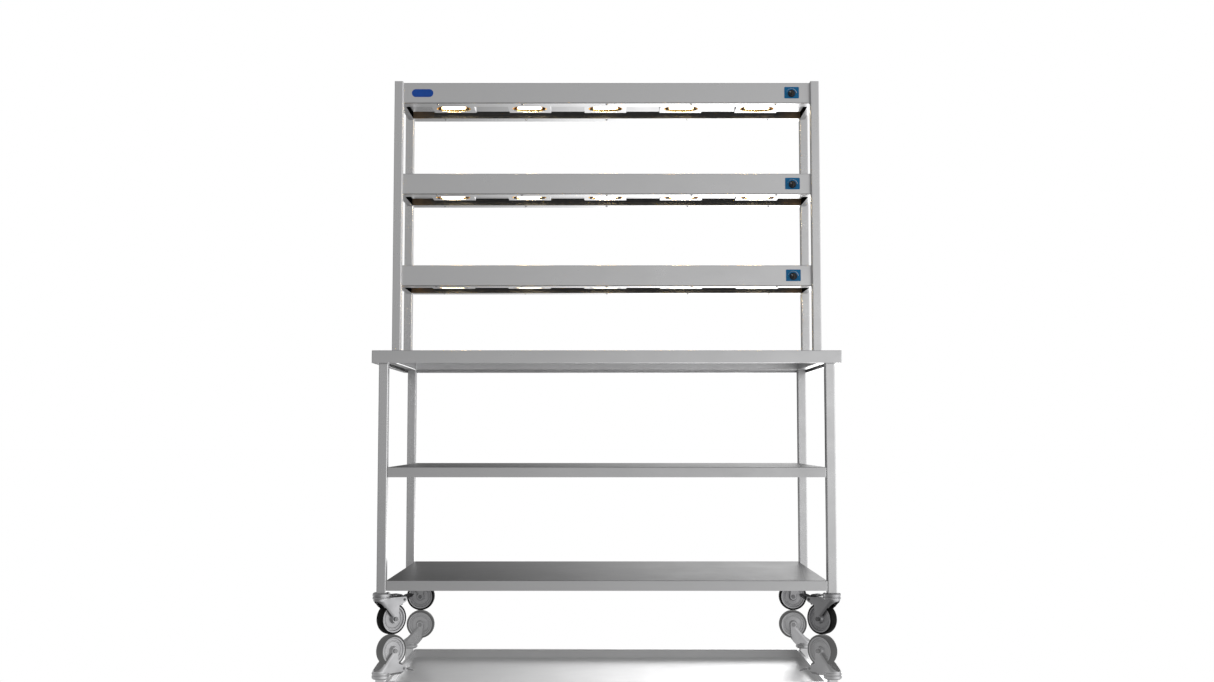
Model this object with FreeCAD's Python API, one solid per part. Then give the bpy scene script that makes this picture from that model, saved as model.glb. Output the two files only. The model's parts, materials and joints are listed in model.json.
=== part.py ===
import FreeCAD
import Part
import math
import os
from collections import namedtuple

from FreeCAD import Vector

# A mobile heated gantry in stainless steel: a worktop on box legs with two undershelves and four
# swivel castors, and over its rear half three folded tiers of quartz heat lamps on four box posts.
# Millimetres. X runs along the table, the front faces -Y, Z is up.
# The origin is on the floor, below the centre of the worktop.

# ---- driving dimensions -------------------------------------------------------------------------
WORKTOP_LENGTH = 1500.0
WORKTOP_DEPTH = 700.0
WORKTOP_HEIGHT = 904.0
WORKTOP_EDGE = 40.0
WORKTOP_LIP = 12.0
SHEET = 1.5
SHELF_SHEET = 1.2
BEND = 2.5

TUBE = 30.0
TUBE_WALL = 1.5
TUBE_CORNER = 3.0
LEG_INSET = 20.0
CASTOR_HEIGHT = 135.0

SHELF_EDGE = 32.0
SHELF_LIP = 10.0
MIDDLE_SHELF_TOP = 532.0
LOWER_SHELF_TOP = 174.0

GANTRY_DEPTH = 300.0
GANTRY_HEIGHT = 979.0
CAP_THICKNESS = 1.5
TIER_NAMES = ("bottom", "middle", "top")
TIER_CLEAR = 252.0
TIER_HEIGHT = 74.0
TIER_SETBACK = 20.0
TIER_END_INSET = 10.0
PAN_SHEET = 1.2
PAN_TRIM = 1.0
FRONT_BORDER = 50.0
REAR_BORDER = 50.0
POCKET_DEPTH = 26.0
FRONT_LIP = 26.0
REAR_LIP = 42.0
END_LIP = 12.0

LAMP_COUNT = 5
LAMP_PITCH = 276.0
LAMP_ROW_X = -5.0
LAMP_FROM_FASCIA = 132.0
TRAY_LENGTH = 153.0
TRAY_WIDTH = 118.0
TRAY_LIFT = 12.0
TRAY_SHEET = 1.0
DISH_LENGTH = 124.0
DISH_WIDTH = 96.0
DISH_TOP_LENGTH = 116.0
DISH_TOP_WIDTH = 60.0
DISH_TOP_LIFT = 42.0
DISH_SHEET = 1.0
DISH_RIM = 4.0
QUARTZ_RADIUS = 5.0
QUARTZ_LENGTH = 90.0
QUARTZ_LIFT = 14.5
HOLDER_SIZE = (11.0, 14.0, 13.0)
HOLDER_STEM = (6.0, 8.0)

SCREW_PITCH = 300.0
SCREW_COUNT = 5
SCREW_RADIUS = 2.0
SCREW_HEAD_RADIUS = 4.5
SCREW_HEAD_HEIGHT = 2.6
FRONT_SCREW_FROM_FASCIA = 14.0
REAR_SCREW_FROM_REAR = 30.0

PLATE_X = 656.0
PLATE_LIFT = 38.5
PLATE_SIZE = (52.0, 1.0, 41.0)
PLATE_CORNER = 2.5
KNOB_LIFT = 35.0
KNOB_RADIUS = 13.0
KNOB_LENGTH = 17.0
KNOB_GAP = 0.6
SPINDLE_RADIUS = 3.0
BUSHING_RADIUS = 5.0
RUNNING_CLEARANCE = 0.05
REGULATOR_SIZE = (42.0, 32.0, 36.0)
BADGE_X = -653.5
BADGE_SIZE = (76.0, 1.2, 28.0)

WHEEL_RADIUS = 50.0
WHEEL_WIDTH = 32.0
TYRE_DEPTH = 7.5
TRAIL = 39.0
AXLE_RADIUS = 6.0
BOLT_RADIUS = 4.0
BOLT_HEAD_RADIUS = 7.5
BOLT_HEAD_HEIGHT = 5.0
FORK_GAP = 39.0
FORK_SHEET = 2.5
SKIRT_DEPTH = 8.5
ARCH_HALF = 17.5
WHEEL_ROOM = 53.0
CROWN_TOP = 118.5
CROWN_SHEET = 3.0
RACE_HEIGHT = 2.5
HEAD_GAP = 0.4
HEAD_RADIUS = 28.5
KINGPIN_RADIUS = 8.0
PLUG_LENGTH = 40.0
PEDAL_SHEET = 3.0
PEDAL_TOP = 126.0
PEDAL_HALF = 15.0
TREAD_HALF = 23.0
PIVOT_REACH = 35.0
PIVOT_HEIGHT = 109.0
SHOE_REACH = 15.0
SHOE_HALF = 12.0
SHOE_RADIUS = 3.0
SHOE_ANGLE = -101.0

# The heading is where a castor's wheel trails to, in degrees from +X.
Castor = namedtuple("Castor", "name side_x side_y heading has_brake")
CASTORS = (
    Castor("front_left", -1, -1, 45.0, True),
    Castor("front_right", 1, -1, 135.0, True),
    Castor("rear_left", -1, 1, 0.0, False),
    Castor("rear_right", 1, 1, 180.0, False),
)

# ---- places worked out from them ----------------------------------------------------------------
HALF_LENGTH = WORKTOP_LENGTH / 2
FRONT = -WORKTOP_DEPTH / 2
REAR = WORKTOP_DEPTH / 2
LEG_OUTER_X = HALF_LENGTH - LEG_INSET
LEG_INNER_X = LEG_OUTER_X - TUBE
LEG_OUTER_Y = REAR - LEG_INSET
LEG_INNER_Y = LEG_OUTER_Y - TUBE
FRAME_TOP = WORKTOP_HEIGHT - SHEET
POST_INNER_X = HALF_LENGTH - TUBE
POST_FRONT = REAR - GANTRY_DEPTH
FASCIA = POST_FRONT + TIER_SETBACK
TIER_HALF = HALF_LENGTH - TIER_END_INSET
TIER_BASES = tuple(WORKTOP_HEIGHT + TIER_CLEAR + k * (TIER_CLEAR + TIER_HEIGHT) for k in range(3))
POCKET_FRONT = FASCIA + FRONT_BORDER
POCKET_REAR = REAR - REAR_BORDER
LAMP_Y = FASCIA + LAMP_FROM_FASCIA
FRONT_SCREW_Y = FASCIA + FRONT_SCREW_FROM_FASCIA
REAR_SCREW_Y = REAR - REAR_SCREW_FROM_REAR
LAMP_XS = tuple(LAMP_ROW_X + LAMP_PITCH * (k - (LAMP_COUNT - 1) / 2) for k in range(LAMP_COUNT))
SCREW_XS = tuple(SCREW_PITCH * (k - (SCREW_COUNT - 1) / 2) for k in range(SCREW_COUNT))
GLAND_X = HALF_LENGTH - 11.0
GLAND_Y = REAR - 11.0

X_AXIS = Vector(1, 0, 0)
Y_AXIS = Vector(0, 1, 0)
Z_AXIS = Vector(0, 0, 1)


# ---- helpers ------------------------------------------------------------------------------------
def block(x0, x1, y0, y1, z0, z1):
    """A plain box between two corners."""
    return Part.makeBox(x1 - x0, y1 - y0, z1 - z0, Vector(x0, y0, z0))


def rod(radius, start, direction, length):
    """A cylinder from a start point along a direction."""
    return Part.makeCylinder(radius, length, start, direction)


def edges_along(shape, axis):
    """The straight edges of a shape that run along one axis."""
    found = []
    for edge in shape.Edges:
        along = edge.Vertexes[-1].Point - edge.Vertexes[0].Point
        if along.Length > 1e-6 and abs(abs(along.normalize().dot(axis)) - 1) < 1e-6:
            found.append(edge)
    return found


def rounded_block(x0, x1, y0, y1, z0, z1, radius, axis=Z_AXIS):
    """A box with its four edges along one axis rounded."""
    solid = block(x0, x1, y0, y1, z0, z1)
    return solid.makeFillet(radius, edges_along(solid, axis))


def box_tube(x0, x1, y0, y1, z0, z1, axis):
    """A square steel tube along one axis, with rounded corners and a hollow bore."""
    outer = rounded_block(x0, x1, y0, y1, z0, z1, TUBE_CORNER, axis)
    wall = [0.0 if abs(part) > 0.5 else TUBE_WALL for part in axis]
    inner = rounded_block(
        x0 + wall[0], x1 - wall[0], y0 + wall[1], y1 - wall[1], z0 + wall[2], z1 - wall[2],
        TUBE_CORNER - TUBE_WALL, axis,
    )
    return outer.cut(inner)


def folded_sheet(x0, x1, y0, y1, top, edge, sheet, lip):
    """A sheet with its four edges folded down and a lip turned in under them."""
    outer = rounded_block(x0, x1, y0, y1, top - edge, top, BEND)
    rim = [e for e in outer.Edges if all(abs(v.Point.z - top) < 1e-6 for v in e.Vertexes)]
    outer = outer.makeFillet(BEND - 0.5, rim)
    room = rounded_block(
        x0 + sheet, x1 - sheet, y0 + sheet, y1 - sheet, top - edge + sheet, top - sheet, BEND - sheet
    )
    mouth_in = sheet + lip
    mouth = block(x0 + mouth_in, x1 - mouth_in, y0 + mouth_in, y1 - mouth_in, top - edge, top - sheet)
    return outer.cut(room).cut(mouth)


def prism_xz(points, y0, y1):
    """A polygon drawn in the XZ plane and thickened along Y."""
    corners = [Vector(x, y0, z) for x, z in points]
    face = Part.Face(Part.makePolygon(corners + corners[:1]))
    return face.extrude(Vector(0, y1 - y0, 0))


def turned(points, origin, axis_up, axis_out):
    """A solid of revolution from (radius, height) points about an axis through an origin."""
    corners = [origin + axis_out * radius + axis_up * height for radius, height in points]
    face = Part.Face(Part.makePolygon(corners + corners[:1]))
    return face.revolve(origin, axis_up, 360)


def ellipse_face(x, y, z, length, width):
    """A flat ellipse, long axis along X."""
    curve = Part.Ellipse(Vector(x, y, z), length / 2, width / 2)
    return Part.Face(Part.Wire([curve.toShape()]))


def hexagon(centre, direction, radius, length):
    """A hexagonal bolt head or nut about an axis in the XY plane."""
    side = direction.cross(Z_AXIS)
    corners = []
    for k in range(6):
        angle = math.radians(60 * k)
        corners.append(centre + side * (radius * math.cos(angle)) + Z_AXIS * (radius * math.sin(angle)))
    face = Part.Face(Part.makePolygon(corners + corners[:1]))
    return face.extrude(direction * length)


def save(name, *solids):
    """Write one node's solids to its STEP file."""
    shape = solids[0] if len(solids) == 1 else Part.makeCompound(list(solids))
    if not shape.isValid():
        print("invalid shape:", name)
    shape.exportStep("parts/" + name + ".step")


# ---- table --------------------------------------------------------------------------------------
def worktop():
    """The folded worktop, with the hole that leads the supply cable down to its gland."""
    sheet = folded_sheet(
        -HALF_LENGTH, HALF_LENGTH, FRONT, REAR, WORKTOP_HEIGHT, WORKTOP_EDGE, SHEET, WORKTOP_LIP
    )
    hole = rod(6.0, Vector(GLAND_X, GLAND_Y, FRAME_TOP - 1), Z_AXIS, SHEET + 2)
    return sheet.cut(hole)


def leg(side_x, side_y):
    """One box leg, from the castor to the underside of the worktop."""
    x0, x1 = sorted((side_x * LEG_INNER_X, side_x * LEG_OUTER_X))
    y0, y1 = sorted((side_y * LEG_INNER_Y, side_y * LEG_OUTER_Y))
    return box_tube(x0, x1, y0, y1, CASTOR_HEIGHT, FRAME_TOP, Z_AXIS)


def long_rail(side_y):
    """A box rail under the worktop, between two legs along the table."""
    y0, y1 = sorted((side_y * LEG_INNER_Y, side_y * LEG_OUTER_Y))
    return box_tube(-LEG_INNER_X, LEG_INNER_X, y0, y1, FRAME_TOP - TUBE, FRAME_TOP, X_AXIS)


def cross_rail(side_x):
    """A box rail under the worktop, between the front and rear legs of one end."""
    x0, x1 = sorted((side_x * LEG_INNER_X, side_x * LEG_OUTER_X))
    return box_tube(x0, x1, -LEG_INNER_Y, LEG_INNER_Y, FRAME_TOP - TUBE, FRAME_TOP, Y_AXIS)


def shelf(top):
    """A folded undershelf between the legs."""
    return folded_sheet(
        -LEG_INNER_X, LEG_INNER_X, -LEG_OUTER_Y, LEG_OUTER_Y, top, SHELF_EDGE, SHELF_SHEET, SHELF_LIP
    )


def cable_gland():
    """The gland under the worktop where the supply cable leaves the rear right post."""
    profile = (
        (4.0, 0.0), (7.5, 0.0), (7.5, 5.0), (6.5, 6.0), (6.5, 13.0), (5.0, 18.0), (4.0, 18.0),
    )
    return turned(profile, Vector(GLAND_X, GLAND_Y, FRAME_TOP), Z_AXIS * -1, X_AXIS)


# ---- gantry frame -------------------------------------------------------------------------------
def post_box(side_x, at_rear):
    """The footprint of one gantry post, as x0, x1, y0, y1."""
    x0, x1 = sorted((side_x * POST_INNER_X, side_x * HALF_LENGTH))
    y0 = REAR - TUBE if at_rear else POST_FRONT
    return x0, x1, y0, y0 + TUBE


def post(side_x, at_rear):
    """One box post of the gantry, standing on the worktop."""
    top = WORKTOP_HEIGHT + GANTRY_HEIGHT - CAP_THICKNESS
    return box_tube(*post_box(side_x, at_rear), WORKTOP_HEIGHT, top, Z_AXIS)


def post_cap(side_x, at_rear):
    """The plate that closes the top of one post."""
    top = WORKTOP_HEIGHT + GANTRY_HEIGHT
    return rounded_block(*post_box(side_x, at_rear), top - CAP_THICKNESS, top, TUBE_CORNER)


# ---- heated tiers -------------------------------------------------------------------------------
def clear_of_posts(shape, z0, z1, gap):
    """Notch a tier's four corners where the posts pass."""
    reach = 100.0
    for side_x in (-1, 1):
        x0, x1 = sorted((side_x * (POST_INNER_X - gap), side_x * (HALF_LENGTH + reach)))
        front = block(x0, x1, FASCIA - reach, POST_FRONT + TUBE + gap, z0, z1)
        rear = block(x0, x1, REAR - TUBE - gap, REAR + reach, z0, z1)
        shape = shape.cut(front).cut(rear)
    return shape


def tier_casing(base):
    """The folded cover of a tier: top, fascia, rear, ends and the lips turned in below."""
    low = base + PAN_SHEET
    high = base + TIER_HEIGHT
    outer = rounded_block(-TIER_HALF, TIER_HALF, FASCIA, REAR, low, high, BEND, X_AXIS)
    outer = clear_of_posts(outer, low - 1, high + 1, 0.0)
    room = block(
        -TIER_HALF + SHEET, TIER_HALF - SHEET, FASCIA + SHEET, REAR - SHEET, low + SHEET, high - SHEET
    )
    room = clear_of_posts(room, low, high, SHEET)
    mouth = block(
        -TIER_HALF + END_LIP, TIER_HALF - END_LIP, FASCIA + FRONT_LIP, REAR - REAR_LIP,
        low - 1, low + 2 * SHEET,
    )
    casing = outer.cut(room).cut(mouth)
    middle = base + KNOB_LIFT
    bush_hole = rod(BUSHING_RADIUS, Vector(PLATE_X, FASCIA - 1, middle), Y_AXIS, SHEET + 2)
    return casing.cut(bush_hole).cut(screw_holes(base))


def pan_border(base):
    """The flat border under a tier, as the four plates between its fold lines."""
    side_x = POST_INNER_X - PAN_TRIM
    end_x = TIER_HALF - PAN_TRIM
    end_y0 = POST_FRONT + TUBE + PAN_TRIM
    end_y1 = REAR - TUBE - PAN_TRIM
    top = base + PAN_SHEET
    holes = screw_holes(base)
    front = block(-side_x, side_x, FASCIA + PAN_TRIM, POCKET_FRONT, base, top).cut(holes)
    rear = block(-side_x, side_x, POCKET_REAR, REAR - PAN_TRIM, base, top).cut(holes)
    left = block(-end_x, -side_x, end_y0, end_y1, base, top)
    right = block(side_x, end_x, end_y0, end_y1, base, top)
    return [front, rear, left, right]


def pan_pocket(base):
    """The lamp pocket above the border: its ceiling, open over each reflector, and its four walls."""
    side_x = POST_INNER_X - PAN_TRIM
    outer_x = side_x + PAN_SHEET
    front_y = POCKET_FRONT - PAN_SHEET
    rear_y = POCKET_REAR + PAN_SHEET
    low = base + PAN_SHEET
    high = base + POCKET_DEPTH
    ceiling = block(-outer_x, outer_x, front_y, rear_y, high, high + PAN_SHEET)
    for x in LAMP_XS:
        opening = ellipse_face(x, LAMP_Y, high - 1, DISH_LENGTH + 2, DISH_WIDTH + 2)
        ceiling = ceiling.cut(opening.extrude(Vector(0, 0, PAN_SHEET + 2)))
    front = block(-outer_x, outer_x, front_y, POCKET_FRONT, low, high)
    rear = block(-outer_x, outer_x, POCKET_REAR, rear_y, low, high)
    left = block(-outer_x, -side_x, POCKET_FRONT, POCKET_REAR, low, high)
    right = block(side_x, outer_x, POCKET_FRONT, POCKET_REAR, low, high)
    return [ceiling, front, rear, left, right]


def screw_points():
    """The places of one tier's screws, front row and rear row."""
    return [(x, y) for y in (FRONT_SCREW_Y, REAR_SCREW_Y) for x in SCREW_XS]


def screw_holes(base):
    """The holes for one tier's screws, as one tool."""
    holes = [rod(SCREW_RADIUS, Vector(x, y, base - 1), Z_AXIS, 8.0) for x, y in screw_points()]
    return Part.makeCompound(holes)


def dome_screw(x, y, base):
    """A domed screw, its head against the underside of the pan."""
    profile = (
        (0.0, -SCREW_HEAD_HEIGHT), (0.45 * SCREW_HEAD_RADIUS, -0.92 * SCREW_HEAD_HEIGHT),
        (0.8 * SCREW_HEAD_RADIUS, -0.62 * SCREW_HEAD_HEIGHT), (SCREW_HEAD_RADIUS, -0.15 * SCREW_HEAD_HEIGHT),
        (SCREW_HEAD_RADIUS, 0.0), (SCREW_RADIUS, 0.0), (SCREW_RADIUS, 6.0), (0.0, 6.0),
    )
    return turned(profile, Vector(x, y, base), Z_AXIS, X_AXIS)


def lamp_tray(x, base):
    """A shallow square tray under the pocket's ceiling, open over the reflector."""
    low = base + TRAY_LIFT
    high = base + POCKET_DEPTH
    half_x = TRAY_LENGTH / 2
    half_y = TRAY_WIDTH / 2
    outer = rounded_block(x - half_x, x + half_x, LAMP_Y - half_y, LAMP_Y + half_y, low, high, BEND)
    room = rounded_block(
        x - half_x + TRAY_SHEET, x + half_x - TRAY_SHEET, LAMP_Y - half_y + TRAY_SHEET,
        LAMP_Y + half_y - TRAY_SHEET, low + TRAY_SHEET, high + 1, BEND - TRAY_SHEET,
    )
    mouth = ellipse_face(x, LAMP_Y, low - 1, DISH_LENGTH, DISH_WIDTH).extrude(Vector(0, 0, 3))
    return outer.cut(room).cut(mouth)


def bowl(x, base, grow):
    """The solid cone of a reflector, grown all round by an amount."""
    mouth = base + TRAY_LIFT + TRAY_SHEET
    top = base + DISH_TOP_LIFT + grow
    low = ellipse_face(x, LAMP_Y, mouth, DISH_LENGTH + 2 * grow, DISH_WIDTH + 2 * grow)
    high = ellipse_face(x, LAMP_Y, top, DISH_TOP_LENGTH + 2 * grow, DISH_TOP_WIDTH + 2 * grow)
    return Part.makeLoft([low.OuterWire, high.OuterWire], True, True)


def reflector(x, base):
    """A dished reflector with a flat top, its rim resting inside the tray."""
    inner = bowl(x, base, -DISH_SHEET)
    rim_low = base + TRAY_LIFT + TRAY_SHEET
    rim = ellipse_face(x, LAMP_Y, rim_low, DISH_LENGTH + 2 * DISH_RIM, DISH_WIDTH + 2 * DISH_RIM)
    rim = rim.extrude(Vector(0, 0, DISH_SHEET))
    return bowl(x, base, 0.0).fuse(rim).cut(inner)


def quartz_tube(x, base):
    """A clear quartz heat lamp with pinched ends."""
    half = QUARTZ_LENGTH / 2
    neck = 0.55 * QUARTZ_RADIUS
    profile = (
        (0.0, -half), (neck, -half), (neck, 6 - half), (QUARTZ_RADIUS, 10 - half),
        (QUARTZ_RADIUS, half - 10), (neck, half - 6), (neck, half), (0.0, half),
    )
    return turned(profile, Vector(x, LAMP_Y, base + QUARTZ_LIFT), X_AXIS, Z_AXIS)


def lamp_holder(x, base, side):
    """A ceramic end holder hung from the top of the reflector by a flat stem."""
    length, width, height = HOLDER_SIZE
    stem_length, stem_width = HOLDER_STEM
    start = x + side * QUARTZ_LENGTH / 2
    x0, x1 = sorted((start, start + side * length))
    middle = base + QUARTZ_LIFT
    body = rounded_block(
        x0, x1, LAMP_Y - width / 2, LAMP_Y + width / 2, middle - height / 2, middle + height / 2, 2.0, X_AXIS
    )
    centre = (x0 + x1) / 2
    stem = block(
        centre - stem_length / 2, centre + stem_length / 2, LAMP_Y - stem_width / 2,
        LAMP_Y + stem_width / 2, middle, base + DISH_TOP_LIFT - DISH_SHEET,
    )
    return body.fuse(stem).removeSplitter()


# ---- controls and badge -------------------------------------------------------------------------
def control_plate(base):
    """The thin plate behind a knob."""
    width, thickness, height = PLATE_SIZE
    middle = base + PLATE_LIFT
    plate = rounded_block(
        PLATE_X - width / 2, PLATE_X + width / 2, FASCIA - thickness, FASCIA,
        middle - height / 2, middle + height / 2, PLATE_CORNER, Y_AXIS,
    )
    hole = rod(BUSHING_RADIUS, Vector(PLATE_X, FASCIA - 2, base + KNOB_LIFT), Y_AXIS, 4)
    return plate.cut(hole)


def regulator(base):
    """The rotary regulator behind the fascia, with the bushing that passes through it."""
    width, depth, height = REGULATOR_SIZE
    middle = base + KNOB_LIFT
    back = FASCIA + SHEET
    body = rounded_block(
        PLATE_X - width / 2, PLATE_X + width / 2, back, back + depth,
        middle - height / 2, middle + height / 2, 3.0, Y_AXIS,
    )
    bushing_start = FASCIA - PLATE_SIZE[1]
    bushing = rod(BUSHING_RADIUS, Vector(PLATE_X, bushing_start, middle), Y_AXIS, back - bushing_start + 1)
    bore = rod(
        SPINDLE_RADIUS + RUNNING_CLEARANCE, Vector(PLATE_X, bushing_start - 1, middle), Y_AXIS, 21.0
    )
    return body.fuse(bushing).cut(bore)


def spindle(base):
    """The spindle that a knob turns, running in the regulator's bushing."""
    start = FASCIA - PLATE_SIZE[1] - KNOB_GAP - KNOB_LENGTH + 4
    end = FASCIA - PLATE_SIZE[1] + 18.0
    return rod(SPINDLE_RADIUS, Vector(PLATE_X, start, base + KNOB_LIFT), Y_AXIS, end - start)


def knob(base):
    """A round knob with a skirt, a finger bar across its face and a blind bore for the spindle."""
    rear = FASCIA - PLATE_SIZE[1] - KNOB_GAP
    origin = Vector(PLATE_X, rear, base + KNOB_LIFT)
    profile = (
        (0.0, 0.0), (KNOB_RADIUS, 0.0), (KNOB_RADIUS, 3.0), (KNOB_RADIUS - 1.5, 5.0),
        (KNOB_RADIUS - 2.2, KNOB_LENGTH - 4), (KNOB_RADIUS - 3.2, KNOB_LENGTH - 3), (0.0, KNOB_LENGTH - 3),
    )
    body = turned(profile, origin, Y_AXIS * -1, X_AXIS)
    bar = rounded_block(
        PLATE_X - 3.0, PLATE_X + 3.0, rear - KNOB_LENGTH, rear - KNOB_LENGTH + 6,
        base + KNOB_LIFT - KNOB_RADIUS + 4, base + KNOB_LIFT + KNOB_RADIUS - 4, 1.5, Y_AXIS,
    )
    bore = rod(SPINDLE_RADIUS, Vector(PLATE_X, rear + 1, base + KNOB_LIFT), Y_AXIS * -1, KNOB_LENGTH - 3)
    return body.fuse(bar).cut(bore).removeSplitter()


def badge(base):
    """A blank badge with round ends on the left of the fascia."""
    length, thickness, height = BADGE_SIZE
    middle = base + TIER_HEIGHT / 2
    return rounded_block(
        BADGE_X - length / 2, BADGE_X + length / 2, FASCIA - thickness, FASCIA,
        middle - height / 2, middle + height / 2, height / 2 - 0.01, Y_AXIS,
    )


# ---- castors, built about their own swivel axis with the wheel trailing along +X ------------------
def castor_head():
    """The fixed part of a castor: plug in the leg, race cover, kingpin and its riveted foot."""
    half = TUBE / 2 - TUBE_WALL
    plug = rounded_block(
        -half, half, -half, half, CASTOR_HEIGHT, CASTOR_HEIGHT + PLUG_LENGTH, TUBE_CORNER - TUBE_WALL
    )
    low = CROWN_TOP + RACE_HEIGHT + HEAD_GAP
    foot = CROWN_TOP - CROWN_SHEET - HEAD_GAP
    profile = (
        (0.0, foot - 2), (12.0, foot - 2), (13.0, foot - 1), (13.0, foot), (KINGPIN_RADIUS, foot),
        (KINGPIN_RADIUS, low), (HEAD_RADIUS - 2, low), (HEAD_RADIUS - 2, low + 2), (HEAD_RADIUS, low + 3),
        (HEAD_RADIUS, CASTOR_HEIGHT - 4), (HEAD_RADIUS - 1.5, CASTOR_HEIGHT - 2),
        (HEAD_RADIUS - 4, CASTOR_HEIGHT), (0.0, CASTOR_HEIGHT),
    )
    return turned(profile, Vector(0, 0, 0), Z_AXIS, X_AXIS).fuse(plug)


def fork_outline(has_brake):
    """The side view of the fork, as (x, z) points down the front edge and up the rear edge."""
    boss = 11.0
    nose_x = -HEAD_RADIUS + 1.5
    nose_z = CROWN_TOP - 9.0
    reach = math.hypot(TRAIL - nose_x, WHEEL_RADIUS - nose_z)
    slope = math.atan2(WHEEL_RADIUS - nose_z, TRAIL - nose_x)
    turn = slope - math.asin(boss / reach)
    run = math.sqrt(reach * reach - boss * boss)
    touch = (nose_x + run * math.cos(turn), nose_z + run * math.sin(turn))
    points = [(nose_x, CROWN_TOP), (nose_x, nose_z), touch]
    points += [(TRAIL, WHEEL_RADIUS), (TRAIL + boss, WHEEL_RADIUS)]
    if has_brake:
        points += [(TRAIL + 15, 92.0), (TRAIL + 38, 101.0), (TRAIL + 46, 108.0), (TRAIL + 42, 117.0)]
        points += [(TRAIL + 12, CROWN_TOP)]
    else:
        points += [(TRAIL + 9, 88.0), (TRAIL + 4, 106.0), (TRAIL - 6, CROWN_TOP)]
    return points, boss


def castor_fork(has_brake):
    """A pressed fork: crown, two cheeks joined by a skirt round the front, and the race on top."""
    points, boss = fork_outline(has_brake)
    outer_half = FORK_GAP / 2 + FORK_SHEET
    inner_half = FORK_GAP / 2
    bottom = WHEEL_RADIUS - boss
    body = prism_xz(points, -outer_half, outer_half)
    body = body.common(rolled_front(points, outer_half, bottom, CROWN_TOP))
    ends = rod(boss, Vector(TRAIL, -outer_half, WHEEL_RADIUS), Y_AXIS, 2 * outer_half)
    body = body.fuse(ends)
    under = CROWN_TOP - CROWN_SHEET
    room_points = [(x + FORK_SHEET, z) for x, z in points[:3]]
    room = rolled_front(room_points, inner_half, bottom - 1, under)
    arch = rounded_block(
        -HEAD_RADIUS - 1, TRAIL, -ARCH_HALF, ARCH_HALF, 0, CROWN_TOP - SKIRT_DEPTH, ARCH_HALF - 1, X_AXIS
    )
    wheel_room = rod(WHEEL_ROOM, Vector(TRAIL, -inner_half, WHEEL_RADIUS), Y_AXIS, 2 * inner_half)
    body = body.cut(room).cut(arch).cut(wheel_room)
    bolt_hole = rod(BOLT_RADIUS, Vector(TRAIL, -FORK_GAP, WHEEL_RADIUS), Y_AXIS, 2 * FORK_GAP)
    body = body.cut(bolt_hole)
    race = turned(
        ((KINGPIN_RADIUS + 4, 0.0), (HEAD_RADIUS, 0.0), (HEAD_RADIUS - 1, RACE_HEIGHT),
         (KINGPIN_RADIUS + 4, RACE_HEIGHT)),
        Vector(0, 0, CROWN_TOP), Z_AXIS, X_AXIS,
    )
    disc = rod(HEAD_RADIUS, Vector(0, 0, under), Z_AXIS, CROWN_SHEET)
    pin_hole = rod(KINGPIN_RADIUS + RUNNING_CLEARANCE, Vector(0, 0, 90), Z_AXIS, 60)
    body = body.fuse(disc).fuse(race).cut(pin_hole)
    if has_brake:
        pivot_x, pivot_z = brake_pivot()
        ear_start = Vector(pivot_x, -FORK_GAP, pivot_z)
        ear_hole = rod(BOLT_RADIUS + RUNNING_CLEARANCE, ear_start, Y_AXIS, 2 * FORK_GAP)
        pedal_slot = block(TRAIL + 14, TRAIL + 80, -inner_half, inner_half, 90, CROWN_TOP + 1)
        body = body.cut(ear_hole).cut(pedal_slot)
    return body.removeSplitter()


def rolled_front(points, half, low, high):
    """A solid with a half round front that follows the front line of the fork, and flat sides."""
    (nose_x, nose_z), (touch_x, touch_z) = points[1:3]
    centre = nose_x + half
    far = TRAIL + 80
    left = Vector(centre, half, nose_z)
    right = Vector(centre, -half, nose_z)
    corners = [left, Vector(far, half, nose_z), Vector(far, -half, nose_z), right]
    front = Part.Arc(right, Vector(nose_x, 0, nose_z), left).toShape()
    plan = Part.Face(Part.Wire(Part.makePolygon(corners).Edges + [front]))
    drop = nose_z - low
    lean = (touch_x - nose_x) / (nose_z - touch_z)
    upper = plan.extrude(Vector(0, 0, high - nose_z))
    lower = plan.extrude(Vector(lean * drop, 0, -drop))
    return upper.fuse(lower)


def castor_axle():
    """The wheel's axle: a sleeve between the cheeks, a bolt through them and a hexagon on each end."""
    half = FORK_GAP / 2
    outside = half + FORK_SHEET
    centre = Vector(TRAIL, 0, WHEEL_RADIUS)
    sleeve = rod(AXLE_RADIUS, centre - Y_AXIS * half, Y_AXIS, 2 * half)
    bolt = rod(BOLT_RADIUS, centre - Y_AXIS * outside, Y_AXIS, 2 * outside)
    head = hexagon(centre - Y_AXIS * outside, Y_AXIS * -1, BOLT_HEAD_RADIUS, BOLT_HEAD_HEIGHT)
    nut = hexagon(centre + Y_AXIS * outside, Y_AXIS, BOLT_HEAD_RADIUS, BOLT_HEAD_HEIGHT)
    return sleeve.fuse(bolt).fuse(head).fuse(nut).removeSplitter()


def wheel_hub():
    """The moulded wheel centre: bore, boss, dished web with a raised ring, and rim."""
    bore = AXLE_RADIUS + RUNNING_CLEARANCE
    rim = WHEEL_RADIUS - TYRE_DEPTH
    boss_half = FORK_GAP / 2 - 0.5
    side = (
        (bore, boss_half), (11.0, boss_half), (13.0, boss_half - 4.0), (15.0, 10.5), (28.0, 10.0),
        (29.5, 11.5), (31.5, 11.5), (33.0, 10.0), (36.5, 10.0), (38.5, 14.0), (rim, 14.5),
    )
    profile = [(r, h) for r, h in side] + [(r, -h) for r, h in reversed(side)]
    return turned(profile, Vector(TRAIL, 0, WHEEL_RADIUS), Y_AXIS, Z_AXIS)


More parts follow.
